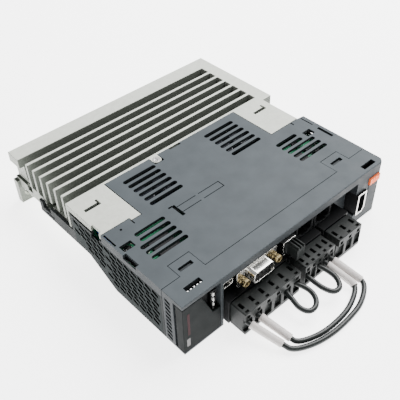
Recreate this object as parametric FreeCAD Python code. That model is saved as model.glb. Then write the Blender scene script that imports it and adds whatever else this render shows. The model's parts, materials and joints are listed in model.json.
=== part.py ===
"""Servo drive, book-size 40 mm unit, lying on its side with its wired power plugs in place.

Drawing axes in millimetres: X runs down the drive's height from its top end, Y from the front
face to the mounting face at the back, Z across its width from the side that it lies on.
Every piece is drawn from the front top corner of the case and moved to the base centre on export.
"""
import FreeCAD, Part
import math
import os
from FreeCAD import Vector

# Driving dimensions of the whole drive
HEIGHT = 168.0
WIDTH = 40.0
BACK_FACE = 170.0
CASE_END = 165.0
PLUG_FRONT = -14.0
BASE_CENTRE = Vector(HEIGHT / 2, (BACK_FACE + PLUG_FRONT) / 2, 0.0)

# Case shells
WALL = 2.0
SEAM = 0.15
SKIRT_Z = 34.0
BEZEL_BACK = 15.6
COVER_BACK = 101.2
LIP_Z = 34.8
PANEL_Y = (8.0, 10.0)
RECESS_X = (28.4, 140.6)
POCKET_X = 26.4
POCKET_Y = 7.2
POCKET_Z = (1.8, 37.2)

# Heatsink casting
FIN_PITCH = 8.0
FIN_COUNT = 6
FIN_FIRST_Y = 110.0
FIN_THICKNESS = 2.2
FIN_X = (2.5, 158.0)
LATCH_Y = (124.5, 133.0)
END_BOSS = (153.0, 17.2)
SLAB_Z = (13.0, 22.0)
FLANGE_Y = 158.0
EAR_Z = 38.0
BOSS_X, BOSS_Y, BOSS_R = 64.7, 98.0, 3.2
SCREW_SPACING = 154.0
SCREW_HOLE_R = 2.6
SCREW_X = 7.0
SCREW_Z = 7.5
TAB_LENGTH = 10.6
TAB_Y = 165.0
TAB_TOP = 18.6

# Catch-tool notch at the cover's top-end edge
EDGE_NOTCH_X = (0.7, 2.4)
EDGE_NOTCH_Y = (36.4, 47.6)

# Ventilation
VENT_PITCH = 5.07
VENT_WIDTH = 3.0
GRILLE_ROW_PITCH = 3.5
GRILLE_COLUMN_PITCH = 6.0
GRILLE_THICKNESS = 1.0
GRILLE_RIB_Y = (66.1, 66.9)
SLOT_SLOPE = 0.3

# Operator panel and its door
HINGE_X, HINGE_Y = 2.2, 3.8
HINGE_PIN_R = 1.0
HINGE_CLEARANCE = 0.05
HINGE_PIN_Z = (0.5, 38.6)
DOOR_Z = (2.1, 36.9)
DOOR_CUT = [(26.1, 18.6), (20.8, 18.6), (13.0, 36.9)]
KEY_X = 18.0
KEY_Z = (5.4, 9.8, 14.2, 18.4)
LEVER_Z = (16.0, 20.0, 24.0, 28.0)
LEVER_X = 23.4

# Signal connectors
USB_X = (28.4, 35.6)
USB_Z = (29.3, 33.9)
DSUB_X = 53.8
DSUB_Z = (24.1, 32.0)
JACK_X = (DSUB_X - 12.5, DSUB_X + 12.5)
JACK_Z = 28.0

# Power connectors: pole positions down the drive, opening height and plug section
POWER_POLES = {
    1: [33.25 + 7.68 * pole for pole in range(6)],
    2: [81.0 + 5.08 * pole for pole in range(5)],
    3: [110.8 + 7.68 * pole for pole in range(3)],
}
PLUG_MARGIN = (2.6, 3.0)
PLUG_Y = (PLUG_FRONT, -2.9)
PLUG_Z = (2.5, 19.5)
TONGUE_BACK = 7.6
HEADER_FRONT = -2.6
ENTRY_Z = 10.5
ENTRY_TOP = 14.0
ENTRY_DEPTH = 1.8

# Wires
WIRE_R = 1.6
SLEEVE_R = 2.3
SLEEVE_BORE_R = 1.65
SLEEVE_STARTS = (3.1, 3.9)
WIRE_START_Y = PLUG_FRONT + ENTRY_DEPTH + 0.4
ARC_SHARE = 0.45

# Boards and the pillars that space them
CONTROL_BOARD_Z = (31.4, 33.0)
POWER_BOARD_Z = (16.4, 18.0)
STANDOFF_XY = [(8.0, 20.0), (154.0, 20.0), (8.0, 54.0), (154.0, 54.0)]


# ---- small helpers ------------------------------------------------------------------------
def block(x, y, z):
    """Box between two planes on each axis, each given as (low, high)."""
    return Part.makeBox(x[1] - x[0], y[1] - y[0], z[1] - z[0], Vector(x[0], y[0], z[0]))


def rod(centre, axis, radius, length):
    return Part.makeCylinder(radius, length, Vector(*centre), Vector(*axis))


def prism(points, z):
    """Outline in the plane of the side face, pulled up across the width."""
    corners = [Vector(x, y, z[0]) for x, y in points]
    face = Part.Face(Part.makePolygon(corners + corners[:1]))
    return face.extrude(Vector(0, 0, z[1] - z[0]))


def end_prism(points, x):
    """Outline in the plane of an end face, as (Y, Z) points, pulled down the height."""
    corners = [Vector(x[0], y, z) for y, z in points]
    face = Part.Face(Part.makePolygon(corners + corners[:1]))
    return face.extrude(Vector(x[1] - x[0], 0, 0))


def front_prism(points, y):
    """Outline in the plane of the front face, as (X, Z) points, pulled towards the back."""
    corners = [Vector(x, y[0], z) for x, z in points]
    face = Part.Face(Part.makePolygon(corners + corners[:1]))
    return face.extrude(Vector(0, y[1] - y[0], 0))


def slot_cutter(x, y_middle, width, z):
    """Round-ended slot that runs along X."""
    radius = width / 2
    cutter = block((x[0] + radius, x[1] - radius), (y_middle - radius, y_middle + radius), z)
    for end in (x[0] + radius, x[1] - radius):
        cutter = cutter.fuse(rod((end, y_middle, z[0]), (0, 0, 1), radius, z[1] - z[0]))
    return cutter


def joined(shapes):
    """One solid from pieces that overlap or share faces."""
    result = shapes[0]
    for shape in shapes[1:]:
        result = result.fuse(shape)
    return result.removeSplitter()


def group(shapes):
    return Part.makeCompound(shapes)


def cut_all(shape, cutters):
    return shape.cut(Part.makeCompound(cutters)) if len(cutters) > 1 else shape.cut(cutters[0])


def rounded(shape, radius, wanted):
    """Round the straight edges that the test function picks."""
    edges = [edge for edge in shape.Edges if wanted(edge)]
    return shape.makeFillet(radius, edges)


def runs_along(edge, axis):
    start, end = edge.Vertexes[0].Point, edge.Vertexes[-1].Point
    step = end - start
    others = [abs(value) for index, value in enumerate(step) if index != axis]
    return abs(step[axis]) > 1e-6 and max(others) < 1e-6


# ---- metal chassis ------------------------------------------------------------------------
def heatsink_casting():
    """Die-cast chassis: base slab, fins, mounting flange, end band, cover ears and screw tabs."""
    band_x = (158.0, HEIGHT)
    front_wall_y = (99.4, 103.2)
    strip_y = (101.3, 103.2)
    tab_depth = (TAB_Y, BACK_FACE)
    solids = [
        block((FIN_X[0], HEIGHT), (front_wall_y[0], BACK_FACE), SLAB_Z),
        block((1.2, HEIGHT), (FLANGE_Y, BACK_FACE), (SLAB_Z[1], WIDTH)),
        block(band_x, (97.3, BACK_FACE), (SLAB_Z[0], WIDTH)),
        block(FIN_X, front_wall_y, (SLAB_Z[0], 37.6)),
        block((0.5, band_x[0]), strip_y, (SLAB_Z[1], WIDTH)),
        block((0.0, TAB_LENGTH), tab_depth, (0.0, TAB_TOP)),
        block((HEIGHT - TAB_LENGTH, HEIGHT), tab_depth, (0.0, TAB_TOP)),
    ]
    for index in range(FIN_COUNT):
        middle = FIN_FIRST_Y + FIN_PITCH * index
        side = FIN_THICKNESS / 2
        solids.append(block(FIN_X, (middle - side, middle + side), (SLAB_Z[1], WIDTH)))
    solids += cover_ears(strip_y[1])
    solids.append(rod((BOSS_X, BOSS_Y, 30.0), (0, 0, 1), BOSS_R, WIDTH - 30.0))
    solids.append(block((BOSS_X - BOSS_R, BOSS_X + BOSS_R), (BOSS_Y, strip_y[1]), (30.0, WIDTH)))
    solids.append(rod((FIN_X[0], *END_BOSS), (1, 0, 0), 5.2, 9.0))
    casting = joined(solids)
    flange_notch = block((-1.0, 4.5), (156.0, BACK_FACE + 1.0), (20.0, 33.0))
    see_through = rod((155.2, 154.2, SLAB_Z[0] - 1.0), (0, 0, 1), 2.4, 12.0)
    cutters = [flange_notch, see_through,
               block((FIN_X[0] - 1.0, 8.0), LATCH_Y, (17.0, 23.6)),
               block((FIN_X[0] - 1.0, 7.5), (150.2, 156.0), (16.4, 22.0)),
               block((-1.0, WALL), (70.0, 77.6), (35.0, WIDTH + 1.0)),
               rod((BOSS_X, BOSS_Y, 29.0), (0, 0, 1), 1.3, 12.0),
               rod((BOSS_X, BOSS_Y, WIDTH - 1.1), (0, 0, 1), 2.4, 2.0)]
    for x in (SCREW_X, SCREW_X + SCREW_SPACING):
        cutters.append(rod((x, 160.0, SCREW_Z), (0, 1, 0), SCREW_HOLE_R, 12.0))
        cutters.append(Part.makeCone(3.8, SCREW_HOLE_R, 1.4, Vector(x, TAB_Y, SCREW_Z),
                                     Vector(0, 1, 0)))
    cutters += ear_hook_slots()
    return cut_all(casting, cutters)


def cover_ears(back_y):
    """Two flat ears that lap the case side, the top one with a short folded rim."""
    top_ear = prism([(0.5, 68.0), (20.2, 68.0), (20.2, 65.8), (27.0, 65.8), (27.0, back_y),
                     (0.5, back_y)], (EAR_Z, WIDTH))
    rim = block((0.5, 2.0), (68.0, back_y), (36.0, WIDTH))
    lower_ear = block((134.9, 160.0), (66.0, back_y), (EAR_Z, WIDTH))
    return [top_ear, rim, lower_ear]


def ear_hook_slots():
    """L-shaped hooks cut through both ears."""
    cutters = []
    for x in ((5.2, 15.9), (143.7, 154.3)):
        cutters.append(block(x, (88.8, 91.1), (EAR_Z - 1.0, WIDTH + 1.0)))
        cutters.append(block((x[1] - 1.3, x[1]), (91.0, 93.8), (EAR_Z - 1.0, WIDTH + 1.0)))
    return cutters


def cover_screw():
    """Cross-head screw sunk in the boss at the side cover's back edge."""
    seat = WIDTH - 1.1
    head = rod((BOSS_X, BOSS_Y, seat), (0, 0, 1), 2.3, 1.1)
    shank = rod((BOSS_X, BOSS_Y, 31.0), (0, 0, 1), 1.25, seat - 31.0)
    cross = [block((BOSS_X - 1.4, BOSS_X + 1.4), (BOSS_Y - 0.25, BOSS_Y + 0.25),
                   (WIDTH - 0.6, WIDTH + 1.0)),
             block((BOSS_X - 0.25, BOSS_X + 0.25), (BOSS_Y - 1.4, BOSS_Y + 1.4),
                   (WIDTH - 0.6, WIDTH + 1.0))]
    return cut_all(joined([head, shank]), cross)


# ---- case shells --------------------------------------------------------------------------
COVER_OUTLINE = [(0, 15.85), (12.35, 15.85), (12.35, 25.8), (27.5, 25.8), (27.5, 12.95),
                 (135.0, 12.95), (135.0, 25.8), (150.4, 25.8), (150.4, 15.85),
                 (165, 15.85), (165, 64.9), (160.2, 65.55), (134.45, 65.55), (134.45, COVER_BACK),
                 (27.45, COVER_BACK), (27.45, 65.4), (19.85, 65.4), (19.85, 67.6), (0, 67.6)]


def side_cover():
    """Large side panel with its vents, windows and end skirts."""
    plate = prism(COVER_OUTLINE, (WIDTH - WALL, WIDTH))
    skirts = [block((0, WALL), (15.85, 67.6), (SKIRT_Z, WIDTH - 1.0)),
              block((CASE_END - WALL, CASE_END), (15.85, 64.9), (SKIRT_Z, WIDTH - 1.0)),
              block((EDGE_NOTCH_X[1], EDGE_NOTCH_X[1] + 1.0), (35.6, 48.4),
                    (SKIRT_Z, WIDTH - 1.0)),
              block((30.0, 132.0), (60.0, 61.2), (36.0, WIDTH - 1.0)),
              block((30.0, 132.0), (30.0, 31.2), (36.0, WIDTH - 1.0))]
    return cut_all(joined([plate] + skirts), cover_vents() + cover_windows())


def cover_vents():
    """Four groups of round-ended vents, two groups of six and two of five."""
    through = (WIDTH - WALL - 1.0, WIDTH + 1.0)
    cutters = []
    for x in ((35.8, 60.2), (101.6, 126.6)):
        for row in range(6):
            cutters.append(slot_cutter(x, 68.3 + VENT_PITCH * row, VENT_WIDTH, through))
    for row in range(5):
        y = 35.0 + 4.9 * row
        start = 10.2 if row < 3 else 13.8
        end = 152.2 if row < 3 else 145.8
        cutters.append(slot_cutter((start, 35.0), y, VENT_WIDTH, through))
        cutters.append(slot_cutter((127.6, end), y, VENT_WIDTH, through))
    return cutters


def cover_windows():
    """Small service windows, catch slots and the shallow scored outline."""
    deep = (WIDTH - WALL - 1.0, WIDTH + 1.0)
    score = (WIDTH - 0.5, WIDTH + 1.0)
    cutters = [
        block((2.3, 10.0), (48.7, 53.8), deep),
        block((149.8, 156.6), (47.8, 53.0), deep),
        block((-1.0, EDGE_NOTCH_X[1]), EDGE_NOTCH_Y, (37.4, WIDTH + 1.0)),
        edge_notch(),
        block((1.0, 2.1), (55.6, 66.6), (36.5, WIDTH + 1.0)),
        block((19.5, 20.3), (62.4, 66.0), deep),
        block((10.5, 11.8), (62.9, 64.3), deep),
        block((152.4, 153.3), (62.6, 66.0), deep),
        block((161.3, 162.1), (54.1, 64.1), (WIDTH - 1.2, WIDTH + 1.0)),
        block((160.6, 162.6), (37.4, 49.6), deep),
        block((41.0, 43.9), (57.8, 59.0), deep),
        block((43.2, 45.4), (48.4, 58.6), deep),
        block((61.2, 68.2), (94.3, COVER_BACK + 1.0), deep),
        block((77.2, 86.2), (99.4, COVER_BACK + 1.0), deep),
    ]
    for x in ((45.2, 59.6), (61.8, 77.8)):
        for y in (50.9, 56.1):
            cutters.append(block(x, (y - 0.3, y + 0.3), score))
    cutters.append(block((77.4, 78.0), (50.7, 56.3), score))
    return cutters


def edge_notch():
    """Deep slot behind the end wall for a catch tool, shared by the cover and the tray."""
    return block(EDGE_NOTCH_X, EDGE_NOTCH_Y, (29.0, 38.0))


def base_outline(inset):
    """Outline of the tray that the boards sit in, seen across the width."""
    low = inset
    return [(low, 15.75 - inset), (CASE_END - low, 15.75 - inset), (CASE_END - low, 65.0 - low),
            (160.0 - low, 65.0 - low), (160.0 - low, 97.0 + inset),
            (157.8 - low, 97.0 + inset), (157.8 - low, 99.2 + inset), (low, 99.2 + inset)]


def case_base():
    """Tray: floor that steps up towards the heatsink, end walls, rear arm and latch."""
    outer = prism(base_outline(0.0), (0.0, 36.0)).common(
        end_prism([(15.75, 0), (60, 0), (84, 12.5), (99.2, 12.5), (99.2, 35.3), (68.2, 35.3),
                   (68.2, SKIRT_Z - SEAM), (15.75, SKIRT_Z - SEAM)], (0.0, CASE_END)))
    inner = prism(base_outline(WALL), (0.0, 40.0)).common(
        end_prism([(13, WALL), (59.4, WALL), (83.4, 14.5), (102, 14.5), (102, 40), (13, 40)],
                  (0.0, CASE_END)))
    tray = outer.cut(inner)
    arm = block((0.0, 1.8), (98.0, 137.0), (12.5, 22.0))
    arm = cut_all(arm, [block((-1.0, 3.0), LATCH_Y, (17.6, 23.0)),
                        block((-1.0, 3.0), (121.0, 130.0), (15.0, 16.2))])
    posts = [rod((x, y, 1.0), (0, 0, 1), 3.2, POWER_BOARD_Z[0] - 1.0) for x, y in STANDOFF_XY]
    tray = joined([tray, arm] + posts)
    tray = cut_all(tray, [rod((x, y, POWER_BOARD_Z[0] - 4.0), (0, 0, 1), 1.2, 6.0)
                          for x, y in STANDOFF_XY])
    tray = cut_all(tray, [edge_notch(), block((-1.0, WALL + 0.1), (70.0, 77.6), (33.2, 37.0))])
    return tray.cut(grille_plate(0)).cut(grille_plate(1))


GRILLE_OUTLINES = {
    0: [(17.6, 1.8), (59.4, 1.8), (82.0, 13.8), (97.0, 13.8), (97.0, 33.2), (17.6, 33.2)],
    1: [(17.6, 1.8), (59.0, 1.8), (62.0, 3.6), (62.0, 33.2), (17.6, 33.2)],
}
GRILLE_X = {0: (0.0, GRILLE_THICKNESS), 1: (CASE_END - GRILLE_THICKNESS, CASE_END)}
GRILLE_HOLE_X = {0: (0.0, WALL), 1: (CASE_END - WALL, CASE_END)}


def grille_plate(end):
    """Opening for an end grille through the tray's end wall."""
    return end_prism(GRILLE_OUTLINES[end], GRILLE_HOLE_X[end])


def slanted_slot(y, z, length, height, x):
    """Parallelogram vent whose front end sits lower than its back end."""
    drop = SLOT_SLOPE * length
    half = height / 2
    return end_prism([(y, z - half - drop), (y + length, z - half), (y + length, z + half),
                      (y, z + half - drop)], (x[0] - 1.0, x[1] + 1.0))


def end_grille(end):
    """End grille: staggered rows of slanted vents on each side of a solid rib."""
    outline = end_prism(GRILLE_OUTLINES[end], GRILLE_X[end])
    slot_length, slot_height, rim = 5.0, 2.3, 0.9
    back_y = max(point[0] for point in GRILLE_OUTLINES[end])
    cutters = []
    for row in range(9):
        z = 4.3 + GRILLE_ROW_PITCH * row
        for column in range(13):
            y = 19.0 + GRILLE_COLUMN_PITCH * column + 1.5 * (row % 2)
            floor_z = 1.8 + max(0.0, y + slot_length - 59.4) * 0.531
            low_edge = z - slot_height / 2 - SLOT_SLOPE * slot_length
            meets_rib = GRILLE_RIB_Y[0] < y + slot_length and y < GRILLE_RIB_Y[1]
            if low_edge > floor_z + rim / 2 and y + slot_length < back_y - rim and not meets_rib:
                cutters.append(slanted_slot(y, z, slot_length, slot_height, GRILLE_X[end]))
    return cut_all(outline, cutters)


def front_bezel():
    """Front frame: connector recess, operator pocket, end block, tongues and windows."""
    outer = prism([(0, 0), (162.6, 0), (CASE_END, 2.4), (CASE_END, BEZEL_BACK), (0, BEZEL_BACK)],
                  (0.0, WIDTH))
    outer = rounded(outer, 0.8, lambda edge: runs_along(edge, 0)
                    and edge.CenterOfMass.y < 0.1 and edge.CenterOfMass.z > 39.0)
    tongues = [block(x, (BEZEL_BACK - 1.0, 25.5), (WIDTH - WALL, WIDTH))
               for x in ((12.6, 27.3), (135.2, 150.2))]
    hollow = [
        block((WALL, CASE_END - WALL), (PANEL_Y[1], BEZEL_BACK + 1.0), (WALL, 37.8)),
        block(RECESS_X, (-1.0, PANEL_Y[0]), (-1.0, LIP_Z)),
        block((-1.0, POCKET_X), (-1.0, POCKET_Y), POCKET_Z),
        block((142.6, CASE_END - WALL), (WALL, PANEL_Y[1] + 0.1), (WALL, 37.8)),
        block((27.3, 135.2), (12.7, BEZEL_BACK + 1.0), (37.0, WIDTH + 1.0)),
    ]
    body = joined([outer.cut(Part.makeCompound(hollow[:4])).cut(hollow[4])] + tongues)
    return cut_all(body, bezel_windows() + connector_openings() + bezel_vents())


def bezel_windows():
    """Catch windows in the tongues, service windows and the release tab's opening."""
    catch_floor = (WIDTH - 1.3, WIDTH + 1.0)
    through = (36.0, WIDTH + 1.0)
    windows = []
    for x in ((14.9, 24.0), (138.2, 147.1)):
        windows += [block(x, (17.9, 20.6), catch_floor), block(x, (20.1, 20.6), through),
                    block((x[1] - 0.5, x[1]), (17.9, 20.6), through)]
    return windows + [
        block((8.5, 19.2), (5.6, 8.9), (35.0, WIDTH + 1.0)),
        block((149.0, 159.6), (2.5, 5.9), (35.0, WIDTH + 1.0)),
        block((151.9, 162.3), (-1.0, WALL + 0.5), (26.9, 32.1)),
        block((152.3, 153.0), (-0.1, 0.8), (16.5, 26.9)),
        door_hinge_pin(),
    ]


def connector_openings():
    """Openings through the recess panel and the end block for the connectors."""
    y = (PANEL_Y[0] - 0.5, PANEL_Y[1] + 0.5)
    openings = [block(header_span(index), y, (2.4, 20.9)) for index in POWER_POLES]
    openings += [block((45.0, 62.6), y, (23.4, 32.4)), block((28.2, 36.2), y, (29.0, 34.2)),
                 block((73.6, 84.2), y, (21.2, 32.0)), block((87.8, 119.2), y, (21.2, 34.2)),
                 block((141.4, 150.0), (-1.0, 10.5), (8.6, 25.6)),
                 block((140.0, 143.0), (-1.0, PANEL_Y[0]), (8.6, 25.6))]
    return openings


def bezel_vents():
    """One column of slanted vents through the bezel's end wall."""
    return [slanted_slot(9.6, 5.0 + 3.3 * row, 4.2, 1.9, (0.0, WALL)) for row in range(10)]


# ---- operator panel -----------------------------------------------------------------------
def display_door():
    """Tinted door that wraps the corner and turns on a pin at the drive's top end."""
    front = front_prism([(0, DOOR_Z[0]), (26.1, DOOR_Z[0])] + DOOR_CUT + [(0, DOOR_Z[1])],
                        (0.0, 1.6))
    height = DOOR_Z[1] - DOOR_Z[0]
    side = block((0.0, 1.4), (0.0, 5.6), DOOR_Z)
    web = block((1.0, 3.4), (1.0, HINGE_Y), DOOR_Z)
    knuckle = rod((HINGE_X, HINGE_Y, DOOR_Z[0]), (0, 0, 1), 2.0, height)
    bore = rod((HINGE_X, HINGE_Y, 0.0), (0, 0, 1), HINGE_PIN_R + HINGE_CLEARANCE, WIDTH)
    return joined([front, side, web, knuckle]).cut(bore)


def door_hinge_pin():
    low, high = HINGE_PIN_Z
    return rod((HINGE_X, HINGE_Y, low), (0, 0, 1), HINGE_PIN_R, high - low)


def operator_panel():
    """Backing plate with guide holes for the keys."""
    plate = block((5.6, 26.2), (5.6, POCKET_Y), (2.2, 36.8))
    return cut_all(plate, [rod((KEY_X, 5.0, z), (0, 1, 0), 1.75, 3.0) for z in KEY_Z])


def display_module():
    """Three-digit display block with a sunk window for each digit."""
    body = block((7.6, 15.6), (3.2, 5.6), (4.6, 30.4))
    return cut_all(body, [block((8.6, 14.6), (2.0, 3.6), (z, z + 7.0)) for z in (5.8, 14.0, 22.2)])


def menu_key(z):
    """Push key: domed cap on a stem that runs in the backing plate."""
    cap = rod((KEY_X, 2.6, z), (0, 1, 0), 1.95, 1.8)
    cap = rounded(cap, 0.4, lambda edge: abs(edge.CenterOfMass.y - 2.6) < 0.01
                  and len(edge.Vertexes) == 1)
    return joined([cap, rod((KEY_X, 4.0, z), (0, 1, 0), 1.45, 2.3)])


def dip_switch_body():
    body = block((22.1, 25.9), (3.2, 5.6), (13.4, 30.6))
    return cut_all(body, [block((22.8, 25.4), (3.0, 4.4), (z - 1.6, z + 1.6)) for z in LEVER_Z])


def dip_lever(z):
    return block((LEVER_X - 0.5, LEVER_X + 0.6), (2.5, 4.1), (z - 1.3, z + 1.3))


def release_tab():
    """Spring-back tab in the end block, with grip ribs on its face."""
    tab = joined([block((152.2, 162.0), (-1.2, 3.0), (27.2, 31.8)),
                  block((151.3, 162.7), (2.3, 3.3), (26.4, 32.6))])
    grooves = [block((x, x + 0.6), (-1.3, -0.8), (27.0, 32.0)) for x in (154.4, 156.8, 159.2)]
    return cut_all(tab, grooves)


# ---- boards and what they carry -----------------------------------------------------------
def control_board():
    board = block((3.5, 159.5), (12.0, 58.0), CONTROL_BOARD_Z)
    return cut_all(board, [rod((x, y, 30.0), (0, 0, 1), 1.6, 5.0) for x, y in STANDOFF_XY])


def control_board_parts():
    """Chips, crystals and small capacitors on the control board."""
    top = CONTROL_BOARD_Z[1]
    chips = [block(x, y, (top, top + height)) for x, y, height in (
        ((18.0, 32.0), (36.0, 50.0), 1.4), ((70.0, 90.0), (30.0, 50.0), 1.6),
        ((100.0, 112.0), (24.0, 36.0), 1.4), ((128.0, 140.0), (36.0, 46.0), 1.4),
        ((52.0, 60.0), (18.0, 26.0), 1.2), ((143.0, 149.0), (43.0, 47.0), 1.8))]
    cans = [rod((x, y, top), (0, 0, 1), 2.4, 3.2) for x, y in
            ((14.0, 47.0), (142.0, 52.0), (147.5, 38.5), (118.0, 46.0), (40.0, 44.0))]
    return group(chips + cans)


def power_board():
    board = block((3.5, 157.0), (17.0, 97.0), POWER_BOARD_Z)
    return cut_all(board, [rod((x, y, 15.0), (0, 0, 1), 1.2, 5.0) for x, y in STANDOFF_XY])


def power_board_parts():
    """Fuse, filter choke, snubbers and driver chips on the power board."""
    top = POWER_BOARD_Z[1]
    boxes = [block(x, y, (top, top + height)) for x, y, height in (
        ((20.0, 42.0), (24.0, 33.0), 10.0), ((50.0, 60.0), (62.0, 70.0), 11.0),
        ((110.0, 128.0), (24.0, 31.0), 9.0), ((64.0, 74.0), (24.0, 40.0), 3.0),
        ((96.0, 104.0), (40.0, 56.0), 3.0), ((76.0, 90.0), (62.0, 69.0), 8.0))]
    drums = [rod((x, y, top), (0, 0, 1), 5.0, 9.5) for x, y in ((52.0, 46.0), (136.0, 46.0))]
    return group(boxes + drums)


def board_link():
    return block((78.0, 92.0), (43.0, 48.0), (POWER_BOARD_Z[1], CONTROL_BOARD_Z[0]))


def board_standoffs():
    """Brass pillars between the boards, each with a threaded stud below."""
    span = CONTROL_BOARD_Z[0] - POWER_BOARD_Z[1]
    pillars = []
    for x, y in STANDOFF_XY:
        pillar = rod((x, y, POWER_BOARD_Z[1]), (0, 0, 1), 2.6, span)
        stud = rod((x, y, POWER_BOARD_Z[0] - 2.0), (0, 0, 1), 1.15, 4.0)
        bore = rod((x, y, CONTROL_BOARD_Z[0] - 6.0), (0, 0, 1), 1.2, 7.0)
        pillars.append(joined([pillar, stud]).cut(bore))
    return group(pillars)


def board_screws():
    """Pan-head screws through the control board into the pillars."""
    screws = []
    for x, y in STANDOFF_XY:
        head = rod((x, y, CONTROL_BOARD_Z[1]), (0, 0, 1), 2.6, 1.6)
        shank = rod((x, y, CONTROL_BOARD_Z[1] - 6.0), (0, 0, 1), 1.15, 6.0)
        cross = block((x - 1.6, x + 1.6), (y - 0.3, y + 0.3),
                      (CONTROL_BOARD_Z[1] + 0.9, CONTROL_BOARD_Z[1] + 2.0))
        screws.append(joined([head, shank]).cut(cross))
    return group(screws)


def bus_capacitors():
    """Four reservoir cans with a bead and a scored vent on the cap."""
    cans = []
    for x in (40.0, 58.0, 105.0, 123.0):
        can = rod((x, 82.0, POWER_BOARD_Z[1]), (0, 0, 1), 8.0, 18.0)
        can = rounded(can, 0.8, lambda edge: edge.CenterOfMass.z > 35.0
                      and len(edge.Vertexes) == 1)
        bead = Part.makeTorus(8.1, 0.5, Vector(x, 82.0, POWER_BOARD_Z[1] + 2.5))
        vent = block((x - 4.0, x + 4.0), (81.8, 82.2), (35.7, 37.0))
        cans.append(can.cut(bead).cut(vent))
    return group(cans)


def power_module():
    body = block((72.0, 100.0), (93.2, 98.8), (18.4, 36.0))
    legs = [block((x, x + 1.0), (94.6, 95.2), (15.0, 19.0)) for x in range(74, 99, 4)]
    return joined([body] + legs)


def thermal_pad():
    return block((71.5, 100.5), (98.8, 99.4), (18.4, 36.4))


def inrush_relay():
    return rounded(block((10.0, 26.0), (76.0, 90.0), (POWER_BOARD_Z[1], 34.0)), 0.8,
                   lambda edge: runs_along(edge, 2))


def transformer():
    """Flyback transformer: winding on a bobbin inside an E-core."""
    core = block((134.0, 152.0), (72.0, 90.0), (20.0, 34.0))
    window = block((136.5, 149.5), (71.0, 91.0), (23.0, 31.0))
    winding = block((137.0, 149.0), (74.0, 88.0), (23.0, 31.0))
    foot = block((135.0, 151.0), (73.0, 89.0), (POWER_BOARD_Z[1], 20.0))
    return group([core.cut(window), winding, foot])


# ---- signal connectors --------------------------------------------------------------------
def shell_ring(x, z, y, wall, corner):
    """Pressed metal shell: a round-cornered tube that opens to the front."""
    outer = rounded(block(x, y, z), corner, lambda edge: runs_along(edge, 1))
    inner = rounded(block((x[0] + wall, x[1] - wall), (y[0] - 1.0, y[1] - wall),
                          (z[0] + wall, z[1] - wall)), corner - wall / 2,
                    lambda edge: runs_along(edge, 1))
    return outer.cut(inner)


def usb_socket():
    """Round-cornered metal shell, set into the front edge of the control board."""
    return shell_ring(USB_X, USB_Z, (0.4, 12.0), 0.5, 1.1)


def usb_insulator():
    """Contact tongue on a block that closes the back of the socket."""
    x = (USB_X[0] + 0.5, USB_X[1] - 0.5)
    z = (USB_Z[0] + 0.5, USB_Z[1] - 0.5)
    return joined([block((x[0] + 0.6, x[1] - 0.6), (9.0, 11.5), (z[0] + 0.6, z[1] - 0.6)),
                   block((x[0] + 1.2, x[1] - 1.2), (1.6, 9.5), (31.1, 32.0))])


def dsub_outline(inset):
    """D shape, wider at its lower side, shrunk all round by the inset."""
    low, high = DSUB_Z[0] + inset, DSUB_Z[1] - inset
    half_low, half_high = 8.5 - 1.1 * inset, 7.1 - 0.9 * inset
    return [(DSUB_X - half_low, low), (DSUB_X + half_low, low),
            (DSUB_X + half_high, high), (DSUB_X - half_high, high)]


def dsub_prism(inset, y, corner):
    return rounded(front_prism(dsub_outline(inset), y), corner, lambda edge: runs_along(edge, 1))


def dsub_shell():
    """D-shaped shell on its flange plate."""
    flange = rounded(block((DSUB_X - 15.4, DSUB_X + 15.4), (0.2, 1.2), (21.8, 34.0)), 1.2,
                     lambda edge: runs_along(edge, 1))
    body = joined([dsub_prism(0.0, (-5.2, 1.0), 2.0), flange]).cut(
        dsub_prism(0.6, (-6.0, 3.0), 1.6))
    return cut_all(body, [rod((x, -1.0, JACK_Z), (0, 1, 0), 1.6, 4.0) for x in JACK_X])


def dsub_insulator():
    """Contact block with two rows of contact holes, set back in the shell."""
    core = dsub_prism(0.7, (-3.4, 10.0), 1.5)
    core = core.fuse(block((DSUB_X - 6.0, DSUB_X + 6.0), (9.0, 16.0), (25.0, CONTROL_BOARD_Z[0])))
    holes = []
    for z, count in ((26.4, 5), (29.4, 4)):
        for index in range(count):
            x = DSUB_X + (index - (count - 1) / 2) * 2.76
            holes.append(rod((x, -4.0, z), (0, 1, 0), 0.7, 3.0))
    return cut_all(core, holes)


def jack_posts():
    """Hexagonal posts with threaded bores at each side of the D-shaped shell."""
    posts = []
    for x in JACK_X:
        corners = [(x + 2.7 * math.cos(math.radians(60 * k)),
                    JACK_Z + 2.7 * math.sin(math.radians(60 * k))) for k in range(6)]
        post = front_prism(corners, (-4.6, 0.2)).fuse(rod((x, 0.0, JACK_Z), (0, 1, 0), 1.5, 6.0))
        groove = rod((x, -2.2, JACK_Z), (0, 1, 0), 4.0, 0.8).cut(
            rod((x, -3.0, JACK_Z), (0, 1, 0), 1.9, 3.0))
        posts.append(post.cut(rod((x, -5.0, JACK_Z), (0, 1, 0), 1.3, 4.5)).cut(groove))
    return group(posts)


def safety_header():
    """Shrouded socket with an open front for the safety jumper plug."""
    body = joined([block((73.8, 84.0), (-0.6, 10.0), (21.4, 31.8)),
                   block((74.6, 83.2), (9.5, 16.0), (22.2, CONTROL_BOARD_Z[0]))])
    return body.cut(block((74.6, 83.2), (-1.0, 7.4), (22.2, 31.0)))


def safety_plug():
    """Jumper plug with three grip ribs on its outer end."""
    tongue = block((75.0, 82.8), (-1.0, 7.0), (22.6, 30.6))
    grip = block((76.4, 82.8), (-8.6, -1.0), (22.6, 30.4))
    ribs = [block((x, x + 0.9), (-8.6, -1.0), (30.0, 31.8)) for x in (77.2, 79.4, 81.6)]
    return joined([tongue, grip] + ribs)


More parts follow.
